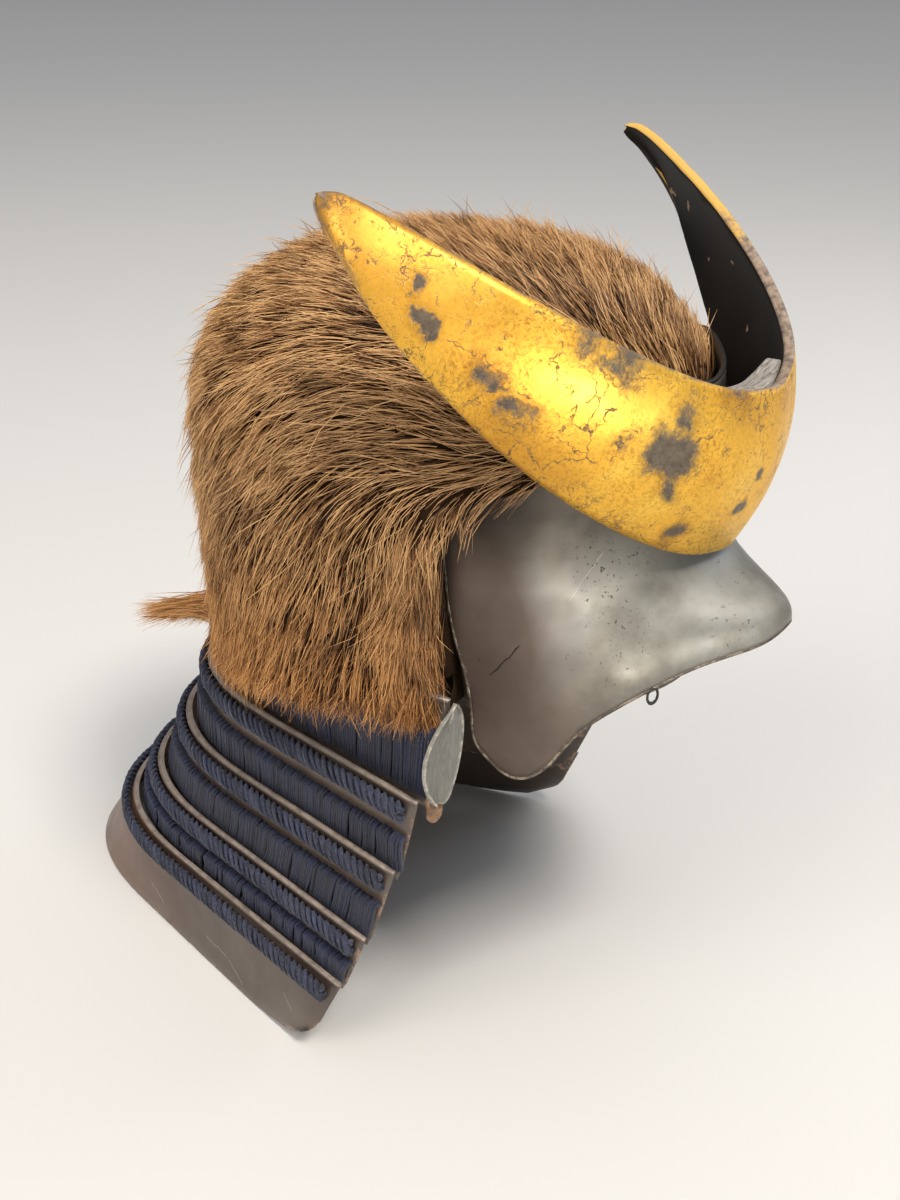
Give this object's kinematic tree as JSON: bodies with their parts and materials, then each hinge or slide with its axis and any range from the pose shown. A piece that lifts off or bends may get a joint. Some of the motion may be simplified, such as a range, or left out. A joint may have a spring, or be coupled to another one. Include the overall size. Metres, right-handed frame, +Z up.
{
  "type": "kabuto samurai helmet",
  "caption": "Samurai helmet with a fur-covered iron bowl, visor, wide gilt crescent crest and a flared neck guard of laced lames.",
  "frame": {"origin": "inside of the iron bowl's crown, where the helmet rests on a head", "axes": "+Z up, front faces -Y, wearer's left is +X"},
  "size_m": [0.2722, 0.436, 0.4374],
  "materials": {
    "russet_iron": "worn satin russet lacquer over iron",
    "brown_hair": "deep brown animal hair with lighter tan tips",
    "worn_gold_leaf": "gold leaf over black lacquer, cracked and chipped",
    "grey_wood": "bare weathered wood",
    "brown_lacquer": "satin brown lacquer with light worn rims",
    "navy_silk": "matte twisted silk cord",
    "blue_braid": "matte faded silk braid",
    "silvered_plate": "dull silvered lacquer, brushed",
    "tan_leather": "dry tan leather"
  },
  "bodies": {
    "root": {"bowl": "russet_iron", "fur": "brown_hair", "crescent": "worn_gold_leaf", "crescent_block": "grey_wood", "visor": "russet_iron", "visor_loop_right": "russet_iron", "visor_loop_left": "russet_iron", "ear_plate_right": "silvered_plate", "ear_plate_left": "silvered_plate", "ear_tab_right": "tan_leather", "ear_tab_left": "tan_leather", "lame_1": "brown_lacquer", "lame_2": "brown_lacquer", "lame_3": "brown_lacquer", "lame_4": "brown_lacquer", "lame_5": "brown_lacquer", "lacing_1": "navy_silk", "braid_2": "blue_braid", "lacing_2": "navy_silk", "braid_3": "blue_braid", "lacing_3": "navy_silk", "braid_4": "blue_braid", "lacing_4": "navy_silk", "braid_5": "blue_braid"}
  },
  "joints": []
}
